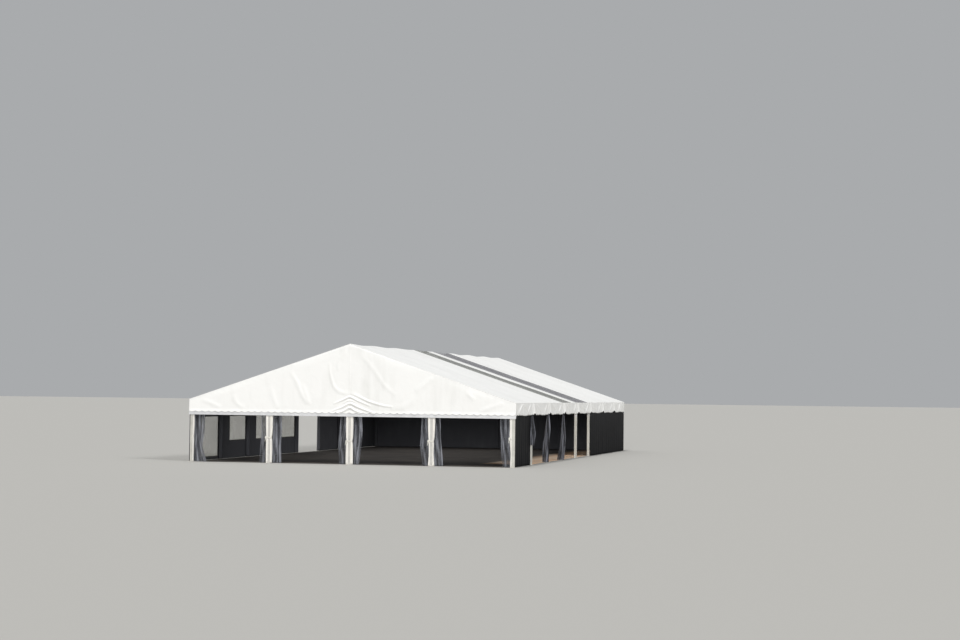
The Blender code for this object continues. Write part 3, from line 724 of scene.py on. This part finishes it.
def window_wall(bay):
    """A left wall panel with its window: the film behind the opening, and the white tape welded round it.

    The tape is a flat band: places along the opening's edge by width across the band.
    """
    node, film_node = f"left_wall_{bay}", f"left_window_{bay}"
    low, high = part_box(film_node)
    start, end, sill, top = low.y + FILM_LAP, high.y - FILM_LAP, low.z + FILM_LAP, high.z - FILM_LAP
    behind, before = CLOTH + 0.001, 0.0015  # from the wall's outer face to the film and to the tape
    wall_piece(node, 0, -1, WHITE, seed=bay, hole=(start, end, sill, top))

    def wall_x(y, z):
        return middle(node, 0) - wall_folds(y, z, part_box(node)[1].z, bay)

    y, z = np.meshgrid(np.linspace(low.y, high.y, 40), np.linspace(low.z, high.z, 26))
    film = lay_grid(film_node + "_film", join(wall_x(y, z) + behind, y, z), join(y, z), WINDOW_FILM,
                    [film_node], THIN, flip=True)
    side = np.linspace(0, 1, 24, endpoint=False)
    zero, one = np.zeros_like(side), np.ones_like(side)
    width = BORDER * np.array([0.0, 1.0])
    y = start - width + (end - start + 2 * width) * np.r_[side, one, 1 - side, zero, 0][:, None]
    z = sill - width + (top - sill + 2 * width) * np.r_[zero, side, one, 1 - side, 0][:, None]
    lay_grid(f"left_window_border_{bay}", join(wall_x(y, z) - before, y, z), join(y, z), WHITE,
             thickness=TAPE_THICK)


def walls():
    """Every wall, and the curtains that close the right side."""
    for bay in range(1, 5):
        window_wall(bay)
    wall_piece("left_wall_rear", 0, -1, WHITE, seed=6.0)
    wall_piece("back_wall", 1, 1, WHITE, seed=7.0)
    for node in ("right_wall_front", "right_wall_rear"):
        wall_piece(node, 0, 1, BLACK, seed=9.0, fullness=1.25, depth=0.016, pitch=0.20)


COVER_GAP = 0.010  # between a leg and the cloth wrapped round it
CLOSE_GAP = 0.002  # the same beside a rail or a wall
COVER_FOOT = 0.016  # just above the base plates
COVER_FOLD = 0.004
COVER_SQUARE = 1.38  # times a circle's radius, before it is cut square


def wrap_upright(name, across, y, gaps, head, seed, finish=BLACK_PAINTED_LIGHT, loose=-1):
    """Cloth wrapped round an upright: turn by height.

    Across is the two ends of its plan along X, and gaps are the room that it has before and behind the bar.
    The plan is an oblong with its corners taken off: the cosine and the sine, let out and cut off at 1. Folds
    are a sine round the upright that drifts with height, on its loose side, which is -1 or 1 as Y is.
    """
    lowest = np.array([across[0], y - FRAME_HALF - gaps[0]])
    highest = np.array([across[1], y + FRAME_HALF + gaps[1]])
    centre, half = (lowest + highest) / 2, (highest - lowest) / 2
    turn, z = np.meshgrid(np.linspace(0, 2 * np.pi, 44, endpoint=False), np.linspace(COVER_FOOT, head, 18))
    fold = COVER_FOLD * (1 + np.sin(7 * turn + 2.1 * z + seed)) * smooth_step(loose * np.sin(turn) + 0.5)
    round_x, round_y = (np.clip(COVER_SQUARE * part, -1, 1) for part in (np.cos(turn), np.sin(turn)))
    points = join(centre[0] + (half[0] + fold) * round_x, centre[1] + (half[1] + fold) * round_y, z)
    piece = lay_grid(name, points, join(turn * half.mean(), z), finish, thickness=THIN, wrap=True)


def covers():
    """Covers on the left legs that stand inside the walls, on two of the right legs and on the back posts."""
    left = (middle("left_wall_2", 0) + WALL_FOLD + CLOTH + COVER_FOLD, COVER_GAP - LEG_INNER)
    right = (LEG_INNER - COVER_GAP, LEG_OUTER + COVER_GAP)
    for number, y in enumerate(FRAME_Y[1:], start=2):
        rear, head = (CLOSE_GAP, BACK_HEAD) if number == len(FRAME_Y) else (COVER_GAP, WALL_HEAD)
        wrap_upright(f"left_leg_cover_{number}", left, y, (COVER_GAP, rear), head,
                     seed=number)
    for number in (3, 4):
        wrap_upright(f"right_leg_cover_{number}", right, FRAME_Y[number - 1],
                     (CLOSE_GAP, COVER_GAP), WALL_HEAD, seed=number, finish=BLACK, loose=1)
    for number, x in enumerate(POST_X, start=1):
        post = (x - POST_HALF - COVER_GAP, x + POST_HALF + COVER_GAP)
        wrap_upright(f"back_post_cover_{number}", post, FRAME_Y[-1],
                     (COVER_GAP, CLOSE_GAP), BACK_HEAD, seed=2 * number)


PLEAT_DEPTH = 0.011
TIE_HALF = 0.022
TIE_PINCH = 0.07  # half height of the stretch that a tie draws in
# Each front curtain: the height of its tie, the size of its knot, and how far its lobes reach beside the
# post at the hem, half way to the tie, at the tie, half way to the head and at the head
CURTAINS = (
    (0.92, 0.5, (0.014, 0.018, 0.022, 0.030, 0.032)),
    (0.91, 1.0, (0.052, 0.060, 0.056, 0.070, 0.076)),
    (0.83, 0.6, (0.076, 0.074, 0.066, 0.076, 0.078)),
    (0.87, 1.0, (0.062, 0.030, 0.044, 0.068, 0.080)),
    (1.00, 1.0, (0.046, 0.032, 0.076, 0.066, 0.072)),
)


def post_plan(far, front, back):
    """Corners of a curtain's plan round a post: out from its face to a lobe, back, and behind it the same."""
    lobe = far - POST_HALF
    half = [(0, back + 0.002), (far - 0.3 * lobe, back), (far, back - 0.03), (far, front + 0.03),
            (far - 0.25 * lobe, front), (POST_HALF + 0.2 * lobe, front), (POST_HALF, front + 0.010)]
    return [(-x, y) for x, y in half[:0:-1]] + half


def corner_plan(side, reach, front, back):
    """The same beside a corner leg, on the side that faces the entrance. Side is the leg's own, -1 or 1."""
    outline = [
        (0.002, front + 0.010), (0.5 * reach, front), (reach, front + 0.014), (reach + 0.002, front + 0.05),
        (reach, back - 0.012), (0.5 * reach, back), (0.004, back - 0.004),
    ]
    corners = [(-side * x, y) for x, y in outline]
    return corners if side > 0 else corners[::-1]


def post_curtain(number, x0, side=0):
    """A white curtain gathered beside a post and tied, as one sheet: length of its plan by height.

    Side is 0 at a middle post, which has a lobe on both sides. Pleats are a sine along the plan, square to
    it, whose phase drifts with height. The tie draws the lobes in.
    """
    node = f"front_curtain_{number}"
    tie_z, knot_size, lobes = CURTAINS[number - 1]
    folds, flat_width = (10, 0.4) if side else (24, 1.3)
    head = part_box(node)[1].z
    near_tie = tie_z + np.linspace(-TIE_PINCH, TIE_PINCH, 5)
    heights = np.unique(np.r_[np.linspace(HEM_CLEAR, head, 28), near_tie])
    levels = smooth_line(np.c_[(0, tie_z / 2, tie_z, (tie_z + head) / 2, head), lobes])
    pinch = bell(heights - tie_z, TIE_PINCH)
    reach = np.interp(heights, levels[:, 0], levels[:, 1]) * (1 - 0.25 * pinch)
    front, back = CURTAIN_FRONT + 0.010, CURTAIN_BACK - 0.006
    s = np.linspace(0, 1, folds * 8 + 1)
    plans = []
    for lobe in reach:
        corners = corner_plan(side, lobe, front, back) if side else post_plan(POST_HALF + lobe, front, back)
        line = smooth_line(corners, 12)
        length = distance_along(line)
        plans.append(join(*(np.interp(s * length[-1], length, line[:, axis]) for axis in (0, 1))))
    plan = np.stack(plans)
    tangent = unit(np.gradient(plan, axis=1))
    drift = 0.7 * np.sin(2.3 * heights[:, None] + x0)
    room = np.minimum(PLEAT_DEPTH, 0.35 * reach[:, None])
    depth = room * (1 - 0.45 * pinch[:, None]) * smooth_step(np.minimum(s, 1 - s) * 14)
    wave = np.sin(2 * np.pi * folds * s + drift + 0.5 * np.sin(9 * s + x0))
    plan = plan + join(-tangent[..., 1], tangent[..., 0]) * (depth * wave)[..., None]
    z = heights[:, None]
    piece = cloth(node, join(plan[..., 0] + x0, plan[..., 1], z), join(s[None, :] * 1.4, z), CURTAIN, THIN)
    tie = tie_band(node, x0, plan[np.argmin(np.abs(heights - tie_z))], tie_z, knot_size)


def tie_band(node, x0, ring, tie_z, knot_size):
    """The webbing tied round a gathered curtain, with its knot and two tails at the left.

    The band is a flat profile round the curtain's plan at the tie, let out a little. The knot is a ball
    squeezed flat and swollen in lobes, and each tail is a strip that falls in a slow curve.
    """
    centre = (ring.min(0) + ring.max(0)) / 2
    half = (ring.max(0) - ring.min(0)) / 2 + 0.005
    rounding = 0.55  # power that rounds the corners of the oblong that the band follows
    turn = np.linspace(0, 2 * np.pi, 48, endpoint=False)
    circle = oval(1, 1, 48)
    around = np.sign(circle) * np.abs(circle) ** rounding * half
    path = np.c_[around + centre + (x0, 0), tie_z + 0.006 * np.sin(2 * turn)]
    away = np.c_[unit(around), np.zeros(len(turn))]
    band = carry(node + "_tie", path, -away, (0, 0, 1), oval(0.0022, TIE_HALF, 8), WEBBING, ring=True)
    size = knot_size * np.array([0.034, 0.026, 0.052])
    knot_at = np.array([x0 + centre[0] - half[0] - 0.35 * size[0], centre[1] - half[1] * 0.6, tie_z])
    turn, dip = np.meshgrid(np.linspace(0, 2 * np.pi, 25)[:-1], np.linspace(0.12, np.pi - 0.12, 13))
    swell = 1 + 0.16 * np.sin(3 * turn + 2 * dip) + 0.10 * np.cos(5 * turn)
    ball = join(np.sin(dip) * np.cos(turn), np.sin(dip) * np.sin(turn), -np.cos(dip))
    knot = lay_grid(node + "_knot", ball * swell[..., None] * size + knot_at, join(turn, dip) * 0.03, WEBBING,
                    wrap=True, capped=True)
    tails = []
    for number, lean in enumerate((-0.35, 0.25)):
        fall, width = np.meshgrid(np.linspace(0, 1, 14), np.linspace(-0.5, 0.5, 5), indexing="ij")
        x = knot_at[0] + (lean * 0.09) * np.sin(fall * 2.0) + 0.020 * width
        y = knot_at[1] - 0.012 - 0.006 * np.sin(fall * 5 + number) - 0.006 * width
        z = knot_at[2] - 0.015 - (0.13 + 0.04 * number) * fall
        tails.append(lay_grid(f"{node}_tail_{number + 1}", join(x, y, z), join(width * 0.02, z), WEBBING,
                              thickness=0.0015, flip=True))
    return [band, knot, *tails]


# Edges of the drapes, from hem to head: how far the left and the right edge lie to the right of what carries
# the drape. That is the corner leg or the post at the front, and the outer face of the rail at the side
FRONT_DRAPES = (
    ((0.00, 0.00, 0.02, 0.04), (0.50, 0.35, 0.42, 0.41)),
    ((-0.37, -0.36, -0.33, -0.33), (0.43, 0.44, 0.44, 0.44)),
    ((-0.38, -0.45, -0.40, -0.36), (0.33, 0.41, 0.45, 0.43)),
    ((-0.36, -0.42, -0.40, -0.38), (0.41, 0.36, 0.32, 0.30)),
    ((-0.34, -0.40, -0.44, -0.45), (-0.06, -0.08, -0.09, -0.09)),
)
SIDE_DRAPES = (
    ((-0.12, -0.13, -0.12, -0.10), (0.06, 0.09, 0.05, -0.02)),
    ((-0.25, -0.22, -0.15, -0.07), (-0.01, 0.01, 0.05, -0.01)),
    ((-0.26, -0.15, -0.09, -0.05), (0.03, 0.07, 0.06, 0.00)),
)
PLEAT = 0.085
FULLNESS = 1.7
HEM_SWAY = 0.010
DRAPE_CLEAR = 0.003  # from a drape's deepest pleat to the faces of its packed block


def drape(node, carried_at, lefts, rights, foot, finish, seed):
    """A dark voile drape in pleats, as one sheet: share of its width by height.

    Its edges are smooth lines through the places given from hem to head. In plan it is a sine, deeper
    towards the hem, whose phase sways with height, so that the pleats lean one way and back.
    """
    low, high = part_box(node)
    up = np.linspace(0, 1, 36)
    edges = smooth_line(np.c_[np.linspace(0, 1, len(lefts)), lefts, rights])
    left, right = (carried_at + np.interp(up, edges[:, 0], edges[:, side]) for side in (1, 2))
    pleats = max(3, round((right - left).mean() / PLEAT))
    share, up = np.meshgrid(np.linspace(0, 1, pleats * 12 + 1), up)
    left, right = left[:, None], right[:, None]
    z = foot + (high.z - foot) * up
    x = left + (right - left) * share + HEM_SWAY * np.sin(9 * up + 5 * share + seed) * (1 - up)
    room = (high.y - low.y) / 2 - DRAPE_CLEAR
    uneven = 1.1 * np.sin(2 * np.pi * share * 1.3 + seed)
    sway = 1.7 * np.sin(3.4 * up + 1.3 * seed) + 0.8 * np.sin(7.1 * up + seed)
    depth = room * (0.95 - 0.40 * up) * (0.82 + 0.18 * np.sin(2 * np.pi * share * 2.3 + 2 * seed))
    y = (low.y + high.y) / 2 + depth * np.sin(2 * np.pi * pleats * share + uneven + sway)
    width = (right - left).mean() * FULLNESS
    piece = cloth(node, join(x, y, z), join(share * width, z), finish, VOILE_THIN)


SWAGS = 8  # of the lining, in a bay


def ceiling_lining():
    """The ruched lining under the rafters: x by y, hung in small swags that run from eave to eave.

    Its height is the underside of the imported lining's slopes, less swags that are |sine| along the marquee,
    and less a slow sag between the frames.
    """
    low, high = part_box("ceiling_lining")
    rows = np.linspace(low.y, high.y, SWAGS * 4 * BAYS + 1)
    x, y = np.meshgrid(np.linspace(-high.x, high.x, 45), rows)
    bay, share = bay_place(y)
    swag_drop, sag_drop, eave_fade, ridge_round, ruck = 0.030, 0.05, 0.5, 0.05, 0.006
    swag = swag_drop * np.abs(np.sin(np.pi * SWAGS * share))
    sag = sag_drop * 4 * share * (1 - share)
    ease = smooth_step((high.x - np.abs(x)) / eave_fade)
    z = high.z - SLOPE * np.sqrt(x**2 + ridge_round**2) - (swag + sag) * (0.25 + 0.75 * ease)
    z = z + ruck * np.sin(9 * x + 4 * bay) * np.sin(np.pi * SWAGS * share)
    piece = cloth("ceiling_lining", join(x, y, z), join(x * UPRIGHT, y), LINING, LINING_THICK)


def floor_matting():
    """Coir matting in two-metre widths that run the length of the marquee.

    The top is the mat's thickness plus a slow unevenness, dipping along the joints between the widths.
    """
    low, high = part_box("floor_matting")
    widths, unevenness, dip, dip_half = 6, 0.0015, 0.003, 0.008
    strip = (high.x - low.x) / widths
    joints = low.x + strip * np.arange(widths + 1)
    near = [joints + offset for offset in (-0.02, -0.006, 0.0, 0.006, 0.02)]
    columns = np.unique(np.clip(np.concatenate([*near, np.linspace(low.x, high.x, 60)]), low.x, high.x))
    x, y = np.meshgrid(columns, np.linspace(low.y, high.y, 80))
    to_joint = np.abs((x - low.x + strip / 2) % strip - strip / 2)
    uneven = unevenness * np.sin(1.3 * x + 0.4 * y) * np.sin(0.9 * y - 0.5 * x)
    z = high.z + uneven + unevenness - dip * bell(to_joint, dip_half)
    piece = lay_grid("floor_matting_coir", join(x, y, z), join(x, y), COIR, ["floor_matting"], MAT_THICK)


def bare_metal():
    """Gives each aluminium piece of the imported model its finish, with the grain along the bar."""
    frames = [f"frame_{number}" for number in range(1, BAYS + 2)]
    # Frame 1 gets the plain tone. The other frames and the back posts get the lighter copy, which is painted
    # light
    for finish, names in (
        (PLAIN_UPRIGHT_METAL, frames[:1]),
        (UPRIGHT_METAL_PAINTED_LIGHT, frames[1:] + ["back_post_1", "back_post_2", "back_post_3"]),
        (CROSS_METAL, ["front_gable_frame", "back_gable_rail"]),
        (LONG_METAL, ["left_eave_rail", "right_eave_rail", "ridge_purlin"]),
    ):
        for name in names:
            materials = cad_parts[name].data.materials
            materials.clear()
            materials.append(finish)


def canopy():
    """Every sheet of the canopy, its welts, gables and valances."""
    for number in range(1, 8):
        roof_piece(f"roof_sheet_{number}", WHITE)
    for number, film in enumerate(ROOF_FILMS, start=1):
        roof_piece(f"roof_light_{number}", film)
    for end, name in ((-1, "front"), (1, "back")):
        welt(f"{name}_verge_welt", np.linspace(-EDGE_X, EDGE_X, 241), end * (EDGE_Y - CLOTH), (0, -1, 0))
    for side, name in ((-1, "left"), (1, "right")):
        welt(f"{name}_eave_welt", side * (EDGE_X - CLOTH), np.linspace(-EDGE_Y, EDGE_Y, 321),
             (-1, 0, 0), (0, 0, 1))
    gable("front_gable", -1, FRONT_CREASES, border_rows=42, upper_rows=28)
    gable("back_gable", 1, BACK_CREASES, border_rows=24, upper_rows=18)
    valance("left_valance", -1)
    valance("right_valance", 1)


def hangings():
    """Curtains tied at the front posts, drapes beside them, and three drapes along the right side."""
    carried_at = (-LEG_INNER, *POST_X, LEG_INNER)
    for number, x in enumerate(carried_at):
        post_curtain(number + 1, x, side={0: -1, 4: 1}.get(number, 0))
    for number, (lefts, rights) in enumerate(FRONT_DRAPES):
        drape(f"front_drape_{number + 1}", carried_at[number], lefts, rights, HEM_CLEAR,
              VOILE, seed=1.7 * number + 1.7)
    for number, (lefts, rights) in enumerate(SIDE_DRAPES):
        node = f"side_drape_{number + 1}"
        foot = HEM_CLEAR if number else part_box(node)[0].z
        drape(node, RAIL_X, lefts, rights, foot, SIDE_VOILE, seed=2.3 * number + 6.3)


def studio():
    """A plain pale floor and backdrop, with soft light.

    A high key light comes from the front, a wider one from the right reaches in under the open side, a faint
    low one fills the front, and one under the ceiling keeps the inside from going black.
    """
    reach = 600.0
    corners = [(-reach, -reach, 0), (reach, -reach, 0), (reach, reach, 0), (-reach, reach, 0)]
    mesh = bpy.data.meshes.new("studio_floor")
    mesh.from_pydata(corners, [], [(0, 1, 2, 3)])
    paint = blank_finish("pale_floor_paint", Roughness=0.9, Base_Color="#BDBBB6", Specular_IOR_Level=0.1)
    mesh.materials.append(paint[0])
    floor = put("studio_floor", mesh)
    floor.location.z = -0.001
    world = bpy.data.worlds.new("studio")
    world.use_nodes = True
    world.node_tree.nodes["Background"].inputs["Color"].default_value = linear("#A9ABAD")
    bpy.context.scene.world = world
    for name, azimuth, elevation, energy, softness in (
        ("key", -6, 60, 1.45, 5),
        ("right", 58, 33, 1.15, 14),
        ("front_low", 8, 5, 0.5, 10),
    ):
        lamp = bpy.data.lights.new(name, "SUN")
        lamp.energy, lamp.angle = energy, math.radians(softness)
        turn, lift = math.radians(azimuth), math.radians(elevation)
        towards = Vector((math.sin(turn) * math.cos(lift), -math.cos(turn) * math.cos(lift), math.sin(lift)))
        put(name, lamp).rotation_euler = (-towards).to_track_quat("-Z", "Y").to_euler()
    glow = bpy.data.lights.new("inside", "AREA")
    glow.shape = "RECTANGLE"
    glow.size, glow.size_y, glow.energy = 8, 18, 190
    lamp = put("inside", glow)
    lamp.location = (-0.8, 0.5, 1.95)
    lamp.visible_camera = False


def camera():
    """The photograph's viewpoint: eye height across the field, a little left and up, barely tilted."""
    position = Vector((20.41, -79.28, 2.526))
    yaw, pitch, roll = (math.radians(angle) for angle in (-13.141, 2.168, 0.661))
    ahead = Vector((math.sin(yaw) * math.cos(pitch), math.cos(yaw) * math.cos(pitch), math.sin(pitch)))
    level = Vector((math.cos(yaw), -math.sin(yaw), 0))
    above = level.cross(ahead)
    right = level * math.cos(roll) + above * math.sin(roll)
    up = above * math.cos(roll) - level * math.sin(roll)
    data = bpy.data.cameras.new("camera")
    data.sensor_width = 36
    data.lens = 1974.3 / 960 * data.sensor_width  # the fitted focal length, in pixels of a 960-wide frame
    data.clip_end = 2000
    seen = put("camera", data)
    seen.matrix_world = Matrix.Translation(position) @ Matrix((right, up, -ahead)).transposed().to_4x4()
    bpy.context.scene.camera = seen


camera()
studio()
bare_metal()
canopy()
walls()
covers()
hangings()
ceiling_lining()
floor_matting()
bpy.context.scene.view_settings.view_transform = "Standard"
